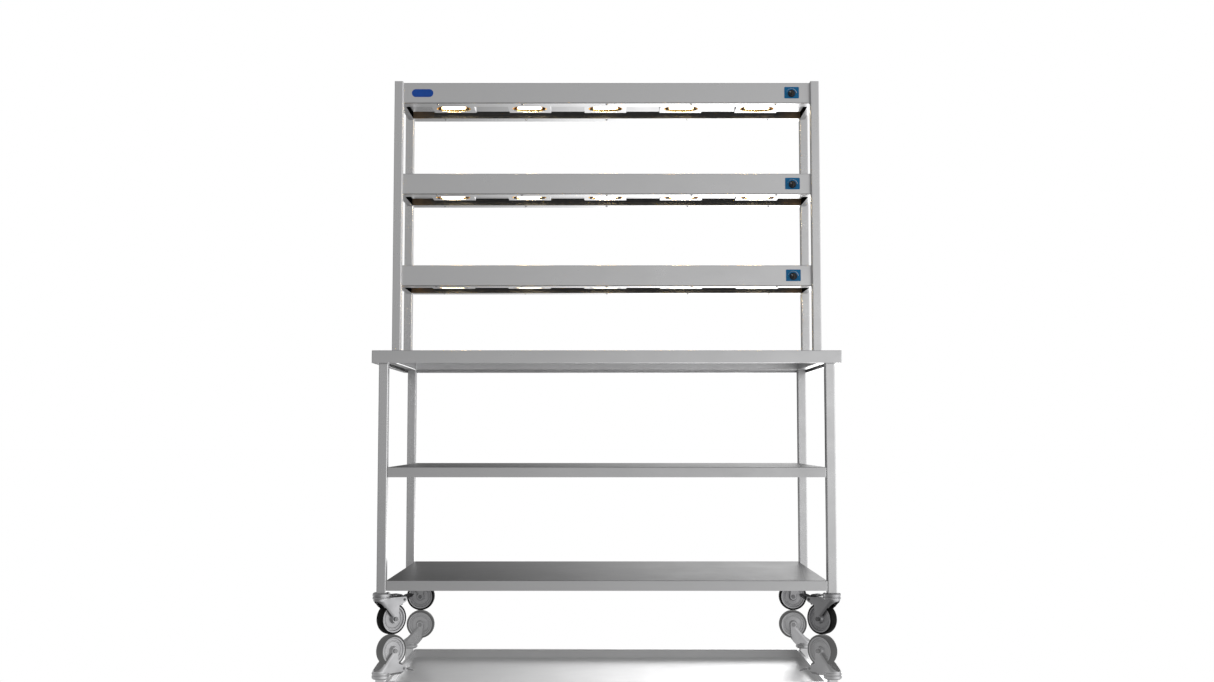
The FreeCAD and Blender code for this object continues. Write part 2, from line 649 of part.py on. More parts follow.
def tyre():
    """The tyre bonded round the wheel centre, with a crowned tread and round shoulders."""
    rim = WHEEL_RADIUS - TYRE_DEPTH
    half = WHEEL_WIDTH / 2
    side = (
        (rim, half - 1.5), (rim + 1.0, half), (rim + 3.2, half), (WHEEL_RADIUS - 2.6, half - 1.6),
        (WHEEL_RADIUS - 1.0, half - 4.0), (WHEEL_RADIUS - 0.2, half - 8.5), (WHEEL_RADIUS, half - 12.0),
    )
    profile = [(r, h) for r, h in side] + [(r, -h) for r, h in reversed(side)]
    return turned(profile, Vector(TRAIL, 0, WHEEL_RADIUS), Y_AXIS, Z_AXIS)


def brake_pivot():
    """The pivot of a brake pedal, as (x, z)."""
    return TRAIL + PIVOT_REACH, PIVOT_HEIGHT


def brake_pedal():
    """A bent pedal on a cross pin, with a shoe that comes down towards the tyre."""
    pivot_x, pivot_z = brake_pivot()
    pin_half = FORK_GAP / 2 + FORK_SHEET + 1.5
    pin = rod(BOLT_RADIUS, Vector(pivot_x, -pin_half, pivot_z), Y_AXIS, 2 * pin_half)
    top = PEDAL_TOP
    heel = HEAD_RADIUS + 4.5
    knee = (TRAIL + 50.0, top - 14.0)
    tip = (TRAIL + 80.0, top - 3.0)
    bar = prism_xz(
        [(heel, top), (heel, top - PEDAL_SHEET), (TRAIL + 26, top - PEDAL_SHEET),
         (knee[0] - 2, knee[1] - PEDAL_SHEET), (knee[0] + 2, knee[1]), (TRAIL + 28, top)],
        -PEDAL_HALF, PEDAL_HALF,
    )
    tread = prism_xz(
        [(knee[0] - 2, knee[1] - PEDAL_SHEET), (knee[0] + 3, knee[1] - PEDAL_SHEET),
         (tip[0], tip[1] - PEDAL_SHEET), (tip[0] - 1, tip[1]), (knee[0] + 2, knee[1])],
        -TREAD_HALF, TREAD_HALF,
    )
    tread = tread.cut(tread_corner(tip, 1)).cut(tread_corner(tip, -1))
    web = prism_xz(
        [(pivot_x - 6, pivot_z - 4), (pivot_x + 6, pivot_z - 4), (pivot_x + 12, pivot_z + 3),
         (pivot_x - 6, top - PEDAL_SHEET)],
        -SHOE_HALF, SHOE_HALF,
    )
    shoe_x = pivot_x + SHOE_REACH * math.cos(math.radians(SHOE_ANGLE))
    shoe_z = pivot_z + SHOE_REACH * math.sin(math.radians(SHOE_ANGLE))
    arm = prism_xz(
        [(pivot_x - BOLT_RADIUS, pivot_z), (shoe_x - SHOE_RADIUS, shoe_z), (shoe_x + SHOE_RADIUS, shoe_z),
         (pivot_x + BOLT_RADIUS, pivot_z)],
        -SHOE_HALF, SHOE_HALF,
    )
    shoe = rod(SHOE_RADIUS, Vector(shoe_x, -SHOE_HALF, shoe_z), Y_AXIS, 2 * SHOE_HALF)
    return pin.fuse([bar, tread, web, arm, shoe]).removeSplitter()


def tread_corner(tip, side):
    """The wedge that trims one outer corner of the pedal's tread."""
    outside = side * (TREAD_HALF + 1)
    corners = [
        Vector(tip[0] - 12, outside, 0), Vector(tip[0] + 2, outside, 0), Vector(tip[0] + 2, outside / 2, 0),
    ]
    face = Part.Face(Part.makePolygon(corners + corners[:1]))
    return face.extrude(Z_AXIS * (PEDAL_TOP + 1))


def under_leg(shape, castor):
    """Move a castor's piece under its leg, square to the table."""
    copy = shape.copy()
    leg_x = castor.side_x * (LEG_OUTER_X - TUBE / 2)
    leg_y = castor.side_y * (LEG_OUTER_Y - TUBE / 2)
    copy.translate(Vector(leg_x, leg_y, 0))
    return copy


def placed(shape, castor):
    """Turn a castor's piece to its heading and move it under its leg."""
    turned_shape = shape.copy()
    turned_shape.rotate(Vector(0, 0, 0), Z_AXIS, castor.heading)
    return under_leg(turned_shape, castor)


# ---- write every node ---------------------------------------------------------------------------
def write_table():
    save("worktop", worktop())
    save("underframe_front_rail", long_rail(-1))
    save("underframe_rear_rail", long_rail(1))
    save("underframe_left_rail", cross_rail(-1))
    save("underframe_right_rail", cross_rail(1))
    for castor in CASTORS:
        save("leg_" + castor.name, leg(castor.side_x, castor.side_y))
    save("middle_shelf", shelf(MIDDLE_SHELF_TOP))
    save("lower_shelf", shelf(LOWER_SHELF_TOP))
    save("cable_gland", cable_gland())


def write_gantry():
    corners = [(side_x, at_rear) for at_rear in (False, True) for side_x in (-1, 1)]
    for side_x, at_rear in corners:
        place = ("rear" if at_rear else "front") + ("_left" if side_x < 0 else "_right")
        save("post_" + place, post(side_x, at_rear))
    save("post_caps", *[post_cap(side_x, at_rear) for side_x, at_rear in corners])
    for name, base in zip(TIER_NAMES, TIER_BASES):
        save(name + "_tier_casing", tier_casing(base))
        save(name + "_lamp_pan", *pan_border(base), *pan_pocket(base))
        save(name + "_lamp_trays", *[lamp_tray(x, base) for x in LAMP_XS])
        save(name + "_reflectors", *[reflector(x, base) for x in LAMP_XS])
        save(name + "_knob", knob(base))
        save(name + "_spindle", spindle(base))
    lamps = [(x, base) for base in TIER_BASES for x in LAMP_XS]
    save("quartz_tubes", *[quartz_tube(x, base) for x, base in lamps])
    save("lamp_holders", *[lamp_holder(x, base, side) for x, base in lamps for side in (-1, 1)])
    screws = [(x, y, base) for base in TIER_BASES for x, y in screw_points()]
    save("pan_screws", *[dome_screw(x, y, base) for x, y, base in screws])
    save("control_plates", *[control_plate(base) for base in TIER_BASES])
    save("regulators", *[regulator(base) for base in TIER_BASES])
    save("badge", badge(TIER_BASES[-1]))


def write_castors():
    save("castor_heads", *[under_leg(castor_head(), castor) for castor in CASTORS])
    for castor in CASTORS:
        save("castor_fork_" + castor.name, placed(castor_fork(castor.has_brake), castor))
        save("castor_axle_" + castor.name, placed(castor_axle(), castor))
        save("wheel_hub_" + castor.name, placed(wheel_hub(), castor))
        save("tyre_" + castor.name, placed(tyre(), castor))
        if castor.has_brake:
            save("brake_pedal_" + castor.name, placed(brake_pedal(), castor))


os.makedirs("parts", exist_ok=True)
write_table()
write_gantry()
write_castors()
print("nodes written:", len(os.listdir("parts")))
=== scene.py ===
import json
import math

import bmesh
import bpy
from mathutils import Matrix, Vector


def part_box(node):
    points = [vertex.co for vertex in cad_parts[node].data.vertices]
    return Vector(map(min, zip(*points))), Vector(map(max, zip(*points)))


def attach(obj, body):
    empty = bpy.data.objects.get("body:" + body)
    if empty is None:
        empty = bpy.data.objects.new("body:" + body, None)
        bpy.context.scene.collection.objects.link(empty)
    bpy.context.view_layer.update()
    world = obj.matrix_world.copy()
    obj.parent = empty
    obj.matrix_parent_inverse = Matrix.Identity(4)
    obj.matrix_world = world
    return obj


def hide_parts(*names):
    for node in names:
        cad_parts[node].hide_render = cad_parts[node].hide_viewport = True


# A mobile heated gantry in stainless steel, seen from the front in a white studio.
# Metres. X runs along the table, the front faces -Y, Z is up, and the floor is at Z = 0.

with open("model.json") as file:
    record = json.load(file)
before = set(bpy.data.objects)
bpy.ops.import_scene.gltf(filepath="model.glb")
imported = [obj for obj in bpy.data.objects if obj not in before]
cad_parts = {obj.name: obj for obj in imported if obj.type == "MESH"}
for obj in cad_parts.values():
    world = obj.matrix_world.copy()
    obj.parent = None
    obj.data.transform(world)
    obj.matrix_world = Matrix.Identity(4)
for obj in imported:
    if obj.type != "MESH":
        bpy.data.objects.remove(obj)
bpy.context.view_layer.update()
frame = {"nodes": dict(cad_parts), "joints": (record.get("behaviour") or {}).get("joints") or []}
nodes = frame["nodes"]

TIERS = ("bottom", "middle", "top")
CORNERS = ("front_left", "front_right", "rear_left", "rear_right")
BRAKED = ("front_left", "front_right")

# The axis of each lamp is LAMP_LIFT above the underside of its tier's casing.
LAMPS_PER_TIER = 5
LAMP_LENGTH = 0.09
LAMP_LIFT = 0.0145
REFLECTOR_LENGTH = 0.132
STEEL = (0.60, 0.60, 0.605)

# Sizes of the detail pieces are in millimetres, which MM turns into metres.
MM = 0.001
KNOB_FACE = 14.0
KNOB_BORE = 3.05
POINTER_ANGLE = 156.0
ARC_RADIUS = 18.6
ARC_FROM = 163.0
ARC_TO = 8.0
SCREW_HEAD = 2.6

CAMERA_PLACE = (0.0009, -4.6554, 0.6336)
CAMERA_TILT = 0.0696
CAMERA_LENS = 40.09


# ---- shader nodes ---------------------------------------------------------------------------------
class Shader:
    """A material under construction, with short names for the nodes it uses."""

    def __init__(self, name, surface="ShaderNodeBsdfPrincipled"):
        self.material = bpy.data.materials.new(name)
        self.material.use_nodes = True
        self.tree = self.material.node_tree
        self.tree.nodes.clear()
        self.output = self.tree.nodes.new("ShaderNodeOutputMaterial")
        self.surface = self.tree.nodes.new(surface)
        self.link(self.surface.outputs[0], self.output.inputs["Surface"])

    def link(self, source, target):
        self.tree.links.new(source, target)

    def set(self, **values):
        """Fixed values on the surface shader's own sockets, with _ for a space."""
        for name, value in values.items():
            self.surface.inputs[name.replace("_", " ")].default_value = value
        return self

    def feed(self, name, source):
        self.link(source, self.surface.inputs[name])
        return self

    def place(self, scale=(1, 1, 1)):
        """The place on the object, stretched by a scale along each axis."""
        where = self.tree.nodes.new("ShaderNodeTexCoord")
        mapping = self.tree.nodes.new("ShaderNodeMapping")
        mapping.inputs["Scale"].default_value = scale
        self.link(where.outputs["Object"], mapping.inputs["Vector"])
        return mapping.outputs["Vector"]

    def noise(self, vector, scale, detail=3.0, roughness=0.5):
        node = self.tree.nodes.new("ShaderNodeTexNoise")
        node.inputs["Scale"].default_value = scale
        node.inputs["Detail"].default_value = detail
        node.inputs["Roughness"].default_value = roughness
        self.link(vector, node.inputs["Vector"])
        return node.outputs["Fac"]

    def cells(self, vector, scale):
        node = self.tree.nodes.new("ShaderNodeTexVoronoi")
        node.inputs["Scale"].default_value = scale
        self.link(vector, node.inputs["Vector"])
        return node.outputs["Color"]

    def math(self, operation, first, second=0.0):
        node = self.tree.nodes.new("ShaderNodeMath")
        node.operation = operation
        for socket, value in zip(node.inputs, (first, second)):
            if isinstance(value, (int, float)):
                socket.default_value = value
            else:
                self.link(value, socket)
        return node.outputs[0]

    def spread(self, source, low, high, start=0.0, end=1.0):
        """A factor from start to end, spread from low to high."""
        node = self.tree.nodes.new("ShaderNodeMapRange")
        for name, value in (("From Min", start), ("From Max", end), ("To Min", low), ("To Max", high)):
            node.inputs[name].default_value = value
        self.link(source, node.inputs["Value"])
        return node.outputs["Result"]

    def colours(self, source, *stops):
        """A ramp of (place, colour) stops."""
        node = self.tree.nodes.new("ShaderNodeValToRGB")
        ramp = node.color_ramp
        while len(ramp.elements) < len(stops):
            ramp.elements.new(1.0)
        for element, (place, colour) in zip(ramp.elements, stops):
            element.position = place
            element.color = (*colour, 1.0)
        self.link(source, node.inputs["Fac"])
        return node.outputs["Color"]

    def blend(self, factor, first, second):
        """A mix of two colours."""
        node = self.tree.nodes.new("ShaderNodeMix")
        node.data_type = "RGBA"
        self.link(factor, node.inputs["Factor"])
        for name, value in (("A", first), ("B", second)):
            socket = [s for s in node.inputs if s.name == name and s.type == "RGBA"][0]
            if isinstance(value, tuple):
                socket.default_value = (*value, 1.0)
            else:
                self.link(value, socket)
        return [s for s in node.outputs if s.type == "RGBA"][0]

    def bump(self, height, distance, strength=1.0, under=None):
        node = self.tree.nodes.new("ShaderNodeBump")
        node.inputs["Strength"].default_value = strength
        node.inputs["Distance"].default_value = distance
        self.link(height, node.inputs["Height"])
        if under is not None:
            self.link(under, node.inputs["Normal"])
        return node.outputs["Normal"]

    def edges(self, low, high):
        """1 on worn convex edges, 0 elsewhere."""
        node = self.tree.nodes.new("ShaderNodeNewGeometry")
        return self.spread(node.outputs["Pointiness"], 0.0, 1.0, low, high)


# ---- materials ------------------------------------------------------------------------------------
def shade(colour, share):
    return tuple(part * share for part in colour)


def brushed_steel(name, tone, along, roughness=0.3, grazing=1.0):
    """Stainless steel brushed along one axis, with faint clouds, smears and hairline scratches."""
    s = Shader(name)
    fine = [1400.0, 1400.0, 1400.0]
    fine["XYZ".index(along)] = 14.0
    coarse = [220.0, 220.0, 220.0]
    coarse["XYZ".index(along)] = 5.0
    grain = s.noise(s.place(tuple(fine)), 1.0, 2.0)
    streaks = s.noise(s.place(tuple(coarse)), 1.0, 3.0)
    clouds = s.noise(s.place(), 3.5, 4.0, 0.6)
    smears = s.noise(s.place((9.0, 9.0, 14.0)), 1.0, 5.0, 0.65)
    colour = s.colours(clouds, (0.3, shade(tone, 0.965)), (0.7, shade(tone, 1.03)))
    colour = s.blend(s.spread(streaks, 0.0, 0.22, 0.35, 0.75), colour, shade(tone, 0.9))
    colour = s.blend(s.edges(0.52, 0.6), colour, shade(tone, 1.06))
    s.feed("Base Color", colour)
    smeared = s.spread(smears, roughness - 0.03, roughness + 0.05, 0.3, 0.7)
    s.feed("Roughness", s.math("ADD", s.spread(grain, -0.05, 0.05), smeared))
    hairlines = s.bump(grain, 0.00002, 0.35)
    s.feed("Normal", s.bump(streaks, 0.00004, 0.3, hairlines))
    return s.set(Metallic=1.0, Specular_Tint=(grazing, grazing, grazing, 1.0)).material


def painted_shade_steel(name, tone, tint):
    """Dull steel painted dark as painted shade for the inside of the lamp pocket, with a warm tint towards
    both ends of the pocket.
    """
    s = Shader(name)
    streaks = s.noise(s.place((6.0, 6.0, 260.0)), 1.0, 3.0)
    dark_blotches = s.noise(s.place(), 30.0, 4.0)
    colour = s.colours(streaks, (0.3, shade(tone, 0.8)), (0.7, shade(tone, 1.25)))
    split = s.tree.nodes.new("ShaderNodeSeparateXYZ")
    s.link(s.place(), split.inputs[0])
    from_middle = s.math("ABSOLUTE", split.outputs["X"])
    colour = s.blend(s.spread(from_middle, 0.0, 1.0, 0.635, 0.69), colour, tint)
    # painted shade: darker blotches at random over the painted dark skin
    s.feed("Base Color", s.blend(s.spread(dark_blotches, 0.0, 0.5, 0.5, 0.8), colour, shade(tone, 0.5)))
    s.feed("Normal", s.bump(streaks, 0.0001, 0.4))
    return s.set(Roughness=0.7, Specular_IOR_Level=0.0).material


def pressed_zinc(name, tone, roughness=0.3):
    """Bright zinc plate on pressed steel, with small spangles and duller, rubbed edges."""
    s = Shader(name)
    spangle = s.cells(s.place(), 260.0)
    cloud = s.noise(s.place(), 30.0, 4.0)
    colour = s.blend(s.spread(spangle, 0.0, 0.12), tone, shade(tone, 0.82))
    colour = s.blend(s.spread(cloud, 0.0, 0.3, 0.5, 0.8), colour, shade(tone, 0.7))
    colour = s.blend(s.edges(0.53, 0.6), colour, shade(tone, 1.08))
    s.feed("Base Color", colour)
    s.feed("Roughness", s.spread(cloud, roughness - 0.07, roughness + 0.12, 0.3, 0.7))
    s.feed("Normal", s.bump(cloud, 0.0001, 0.25))
    return s.set(Metallic=1.0).material


def moulded(name, colour, roughness, texture=900.0, depth=0.00004, specular=0.5):
    """Moulded plastic or rubber with a fine spark-eroded texture and a little dust in it."""
    s = Shader(name)
    pores = s.noise(s.place(), texture, 2.0)
    patches = s.noise(s.place(), 22.0, 4.0)
    tinted = s.colours(patches, (0.3, shade(colour, 0.88)), (0.72, shade(colour, 1.08)))
    tinted = s.blend(s.edges(0.52, 0.62), tinted, shade(colour, 1.35))
    s.feed("Base Color", tinted)
    s.feed("Roughness", s.spread(patches, roughness - 0.06, roughness + 0.1, 0.3, 0.7))
    s.feed("Normal", s.bump(pores, depth, 0.5))
    return s.set(Specular_IOR_Level=specular).material


def enamel(name, colour, roughness=0.28):
    """A printed and lacquered plate, with a faint orange peel."""
    s = Shader(name)
    peel = s.noise(s.place(), 420.0, 1.0)
    tint = s.noise(s.place(), 60.0, 3.0)
    s.feed("Base Color", s.colours(tint, (0.3, shade(colour, 0.92)), (0.7, shade(colour, 1.07))))
    s.feed("Roughness", s.spread(tint, roughness - 0.05, roughness + 0.07))
    s.feed("Normal", s.bump(peel, 0.00003, 0.3))
    return s.set(Specular_IOR_Level=0.15, Coat_Weight=0.08, Coat_Roughness=0.12).material


def silvered(name, tone, roughness):
    """Moulded wheel centre in metallic silver, with a fine grain and a little road dust."""
    s = Shader(name)
    grain = s.noise(s.place(), 1100.0, 2.0)
    dust = s.noise(s.place(), 34.0, 4.0)
    colour = s.blend(s.spread(dust, 0.0, 0.4, 0.45, 0.8), tone, shade(tone, 0.72))
    s.feed("Base Color", s.blend(s.edges(0.52, 0.6), colour, shade(tone, 1.15)))
    s.feed("Roughness", s.spread(dust, roughness - 0.05, roughness + 0.12, 0.3, 0.7))
    s.feed("Normal", s.bump(grain, 0.00003, 0.4))
    return s.set(Metallic=0.9).material


def gold_reflector(name):
    """Gold-coloured anodised reflector with a hammered surface that throws the light about."""
    s = Shader(name)
    dimples = s.noise(s.place(), 260.0, 1.0)
    heat = s.noise(s.place(), 24.0, 3.0)
    s.feed("Base Color", s.colours(heat, (0.3, (0.86, 0.56, 0.17)), (0.7, (1.0, 0.76, 0.32))))
    s.feed("Roughness", s.spread(heat, 0.2, 0.34))
    s.feed("Normal", s.bump(dimples, 0.0005, 0.45))
    return s.set(Metallic=1.0).material


def hot_quartz(name, brightness):
    """A quartz lamp alight: white-hot along its middle and duller at its pinched ends."""
    s = Shader(name)
    first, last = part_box("quartz_tubes")
    pitch = (last.x - first.x - LAMP_LENGTH) / (LAMPS_PER_TIER - 1)
    where = s.tree.nodes.new("ShaderNodeTexCoord")
    split = s.tree.nodes.new("ShaderNodeSeparateXYZ")
    s.link(where.outputs["Object"], split.inputs[0])
    along = s.math("FRACT", s.math("DIVIDE", s.math("SUBTRACT", split.outputs["X"], first.x), pitch))
    from_middle = s.math("ABSOLUTE", s.math("SUBTRACT", along, LAMP_LENGTH / pitch / 2))
    end = LAMP_LENGTH / pitch / 2
    glow = s.spread(from_middle, brightness, 0.4, 0.72 * end, 0.98 * end)
    ripple = s.spread(s.noise(s.place((900.0, 40.0, 40.0)), 1.0, 1.0), 0.85, 1.15)
    s.feed("Emission Strength", s.math("MULTIPLY", glow, ripple))
    s.feed("Roughness", s.spread(ripple, 0.05, 0.12, 0.85, 1.15))
    return s.set(Base_Color=(0.9, 0.86, 0.8, 1.0), Emission_Color=(1.0, 0.8, 0.5, 1.0)).material


# ---- the finish of each CAD node ------------------------------------------------------------------
sheet_steel = brushed_steel("sheet_steel", STEEL, "X")
shelf_steel = brushed_steel("shelf_steel", shade(STEEL, 0.97), "X", 0.34)
# painted shade: the shelves' top faces are a darker copy of the shelf steel that also reflects less at a
# grazing angle
shelf_top_painted_shade = brushed_steel("shelf_top_painted_shade", shade(STEEL, 0.78), "X", 0.36, 0.6)
post_inner_steel = brushed_steel("post_inner_steel", shade(STEEL, 0.9), "Z", 0.42)
pan_steel = brushed_steel("pan_steel", STEEL, "X", 0.3)
# painted shade: the pocket's front and rear walls are painted near-black, with a warm tint towards the ends
pocket_wall_shade = painted_shade_steel("pocket_wall_painted_shade", (0.08, 0.08, 0.08), (0.19, 0.14, 0.095))
# painted shade: the pocket's ceiling is a darker copy of the pan steel
ceiling_painted_shade = brushed_steel("pocket_ceiling_painted_shade", shade(STEEL, 0.76), "X", 0.3)
# painted shade: the pocket's end walls are painted black
pocket_end_painted_shade = painted_shade_steel("pocket_end_painted_shade", (0.002, 0.002, 0.002), (0.002, 0.002, 0.002))
tube_steel = brushed_steel("tube_steel", STEEL, "Z", 0.28)
# painted light: the underframe rails are a brighter copy of the steel, making up for the shade under the
# worktop
rail_painted_light_steel = brushed_steel("rail_painted_light_steel", shade(STEEL, 1.3), "X", 0.32)
cross_steel = brushed_steel("cross_rail_steel", shade(STEEL, 0.85), "Y", 0.32)
zinc = pressed_zinc("zinc_plate", (0.45, 0.45, 0.46))
axle_steel = pressed_zinc("axle_steel", (0.2, 0.2, 0.205), 0.3)
bright_steel = pressed_zinc("bright_steel", (0.45, 0.45, 0.46), 0.24)
pedal_steel = pressed_zinc("pedal_steel", (0.12, 0.12, 0.125), 0.36)
hub_plastic = silvered("silver_hub", (0.45, 0.45, 0.46), 0.38)
tyre_rubber = moulded("tyre_rubber", (0.005, 0.005, 0.005), 0.5, 1500.0, 0.00006, 0.12)
knob_plastic = moulded("knob_plastic", (0.012, 0.012, 0.013), 0.36)
black_plastic = moulded("black_plastic", (0.02, 0.02, 0.02), 0.45)
# painted shade and painted lamp glow: the white ceramic lamp holders are painted a dark warm brown
holder_ceramic = moulded("holder_ceramic", (0.035, 0.022, 0.014), 0.6, 700.0)
plate_blue = enamel("plate_blue", (0.007, 0.175, 0.41))
badge_blue = enamel("badge_blue", (0.012, 0.085, 0.42), 0.22)
pale_print = enamel("pale_print", (0.62, 0.62, 0.66), 0.4)
gold = gold_reflector("gold_reflector")
quartz = hot_quartz("hot_quartz", 60.0)


def finish_for(node):
    """The material of a CAD node, from its name."""
    starts = (
        ("worktop", sheet_steel), ("middle_shelf", shelf_steel), ("lower_shelf", shelf_steel),
        ("underframe_left", cross_steel), ("underframe_right", cross_steel), ("underframe", rail_painted_light_steel),
        ("leg", tube_steel), ("post", tube_steel), ("castor_fork", zinc), ("castor_head", zinc),
        ("castor_axle", axle_steel), ("wheel_hub", hub_plastic), ("tyre", tyre_rubber),
        ("brake_pedal", pedal_steel), ("quartz", quartz), ("lamp_holder", holder_ceramic),
        ("pan_screws", bright_steel), ("control_plates", plate_blue), ("regulators", black_plastic),
        ("badge", badge_blue), ("cable_gland", black_plastic),
    )
    ends = (
        ("casing", sheet_steel), ("pan", pan_steel), ("trays", pan_steel), ("reflectors", gold),
        ("knob", knob_plastic), ("spindle", bright_steel),
    )
    for start, material in starts:
        if node.startswith(start):
            return material
    for end, material in ends:
        if node.endswith(end):
            return material
    raise ValueError("no finish for " + node)


def own_steel(node, material, has_it):
    """The faces of a sheet that has_it picks get their own steel."""
    mesh = nodes[node].data
    mesh.materials.append(material)
    for face in mesh.polygons:
        if has_it(face):
            face.material_index = len(mesh.materials) - 1


for node_name, node_object in nodes.items():
    node_object.data.materials.clear()
    node_object.data.materials.append(finish_for(node_name))
for tier in TIERS:
    above_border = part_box(tier + "_lamp_pan")[0].z + 0.01
    # painted shade on the pocket's ceiling
    own_steel(tier + "_lamp_pan", ceiling_painted_shade, lambda face: face.center.z > above_border)
    # painted shade on the pocket's front and rear walls
    own_steel(tier + "_lamp_pan", pocket_wall_shade, lambda face: abs(face.normal.y) > 0.7)
    # painted shade on the pocket's end walls
    own_steel(tier + "_lamp_pan", pocket_end_painted_shade, lambda face: abs(face.normal.x) > 0.7)
    nodes[tier + "_lamp_pan"].visible_glossy = False
    nodes[tier + "_tier_casing"].visible_glossy = False
for post in CORNERS:
    inward = 1.0 if post.endswith("left") else -1.0
    own_steel("post_" + post, post_inner_steel, lambda face: face.normal.x * inward > 0.7)
for shelf in ("middle_shelf", "lower_shelf"):
    # painted shade on the upward faces of the shelves
    own_steel(shelf, shelf_top_painted_shade, lambda face: face.normal.z > 0.5)


# ---- detail pieces --------------------------------------------------------------------------------
def circle(radius, height, steps, flutes=0, depth=0.0):
    """A ring of points about the local Z axis, with scallops cut into it if it is fluted."""
    ring = []
    for k in range(steps):
        angle = math.tau * k / steps
        reach = radius - depth * (0.5 - 0.5 * math.cos(flutes * angle))
        ring.append((reach * math.cos(angle), reach * math.sin(angle), height))
    return ring


def round_bar(length, width, height, corner, steps=6):
    """A ring of points round a bar with round corners, long along the local X axis."""
    ring = []
    for turn, side_x, side_y in ((0, 1, 1), (90, -1, 1), (180, -1, -1), (270, 1, -1)):
        for k in range(steps + 1):
            angle = math.radians(turn + 90.0 * k / steps)
            x = side_x * (length / 2 - corner) + corner * math.cos(angle)
            y = side_y * (width / 2 - corner) + corner * math.sin(angle)
            ring.append((x, y, height))
    return ring


def skin(rings):
    """A closed skin over a row of equal rings, capped at both ends, as (points, faces)."""
    count = len(rings[0])
    points = [point for ring in rings for point in ring]
    faces = [tuple(range(count)), tuple(range(len(points) - count, len(points)))]
    for start in range(0, len(points) - count, count):
        for k in range(count):
            after = (k + 1) % count
            faces.append((start + k, start + after, start + count + after, start + count + k))
    return points, faces


def loop_skin(rings):
    """A skin over a row of rings whose last ring joins the first, as (points, faces)."""
    count = len(rings[0])
    points = [point for ring in rings for point in ring]
    total = len(points)
    faces = []
    for start in range(0, total, count):
        for k in range(count):
            after = (k + 1) % count
            up = (start + count) % total
            faces.append((start + k, start + after, up + after, up + k))
    return points, faces


def frame_at(place, x_axis, z_axis):
    """A matrix that takes local millimetres to the row frame, from two of its axes."""
    x_axis = Vector(x_axis).normalized()
    z_axis = Vector(z_axis).normalized()
    y_axis = z_axis.cross(x_axis)
    turn = Matrix((x_axis, y_axis, z_axis)).transposed().to_4x4()
    return Matrix.Translation(Vector(place)) @ turn @ Matrix.Scale(MM, 4)


def put(shape, matrix):
    """A (points, faces) shape moved by a matrix."""
    points, faces = shape
    return [matrix @ Vector(point) for point in points], faces


def joined(shapes):
    """Several (points, faces) shapes as one."""
    points = []
    faces = []
    for some_points, some_faces in shapes:
        first = len(points)
        points.extend(some_points)
        faces.extend(tuple(first + k for k in face) for face in some_faces)
    return points, faces


def add_piece(name, shape, material, body):
    """A smooth-shaded mesh in the row frame that moves with a CAD body."""
    mesh = bpy.data.meshes.new(name)
    mesh.from_pydata(shape[0], [], shape[1])
    edit = bmesh.new()
    edit.from_mesh(mesh)
    bmesh.ops.recalc_face_normals(edit, faces=edit.faces)
    edit.to_mesh(mesh)
    edit.free()
    mesh.shade_smooth()
    mesh.set_sharp_from_angle(angle=math.radians(38.0))
    mesh.materials.append(material)
    piece = bpy.data.objects.new(name, mesh)
    bpy.context.scene.collection.objects.link(piece)
    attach(piece, body)
    return piece


def joint(name):
    return next(j for j in frame["joints"] if j["name"] == name)


def knob_frame(tier):
    """Where a knob stands: its local Z axis comes out of the fascia and its X axis points right."""
    middle = joint(tier + "_knob_turn")["pos_m"]
    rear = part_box(tier + "_knob")[1].y
    return frame_at((middle[0], rear, middle[2]), (1, 0, 0), (0, -1, 0))


def knob_body():
    """A knob with a stepped skirt, a fluted grip and a dished face, bored for its spindle."""
    steps = 144
    rings = [circle(KNOB_BORE, 13.0, steps), circle(KNOB_BORE, 0.0, steps)]
    for radius, height in ((12.5, 0.0), (13.0, 0.5), (13.0, 2.4), (12.6, 3.0), (11.8, 3.3)):
        rings.append(circle(radius, height, steps))
    for radius, height, depth in ((11.5, 4.0, 0.3), (11.2, 5.0, 0.7), (10.6, 12.0, 0.7), (10.2, 13.1, 0.4)):
        rings.append(circle(radius, height, steps, 24, depth))
    for radius, height in ((9.5, 13.8), (8.8, KNOB_FACE), (8.2, KNOB_FACE), (7.6, 13.4)):
        rings.append(circle(radius, height, steps))
    return skin(rings)


def finger_bar():
    """The rounded bar across a knob's face."""
    sizes = ((17.6, 6.0, 12.8), (17.4, 5.6, 15.8), (16.9, 5.0, 16.6), (15.9, 3.9, 17.0))
    bar = skin([round_bar(length, width, height, 1.9) for length, width, height in sizes])
    return put(bar, Matrix.Rotation(math.radians(90.0), 4, "Z"))


def pointer():
    """The pale pointer let into the shoulder of a knob."""
    sizes = ((5.4, 2.0, 12.9), (5.4, 2.0, 14.1), (5.0, 1.6, 14.35))
    mark = skin([round_bar(length, width, height, 0.7) for length, width, height in sizes])
    return put(mark, Matrix.Rotation(math.radians(POINTER_ANGLE), 4, "Z") @ Matrix.Translation((7.2, 0, 0)))


def heat_arc():
    """The scale round a knob: a raised arc that widens clockwise from low heat to high."""
    steps = 40
    rings = []
    for k in range(steps + 1):
        share = k / steps
        angle = math.radians(ARC_FROM + (ARC_TO - ARC_FROM) * share)
        inner = ARC_RADIUS - 0.35 - 1.7 * share ** 1.5
        corners = (
            (inner, -0.1), (inner, 0.12), (inner + 0.08, 0.2),
            (ARC_RADIUS - 0.08, 0.2), (ARC_RADIUS, 0.12), (ARC_RADIUS, -0.1),
        )
        rings.append([(reach * math.cos(angle), reach * math.sin(angle), lift) for reach, lift in corners])
    return skin(rings)


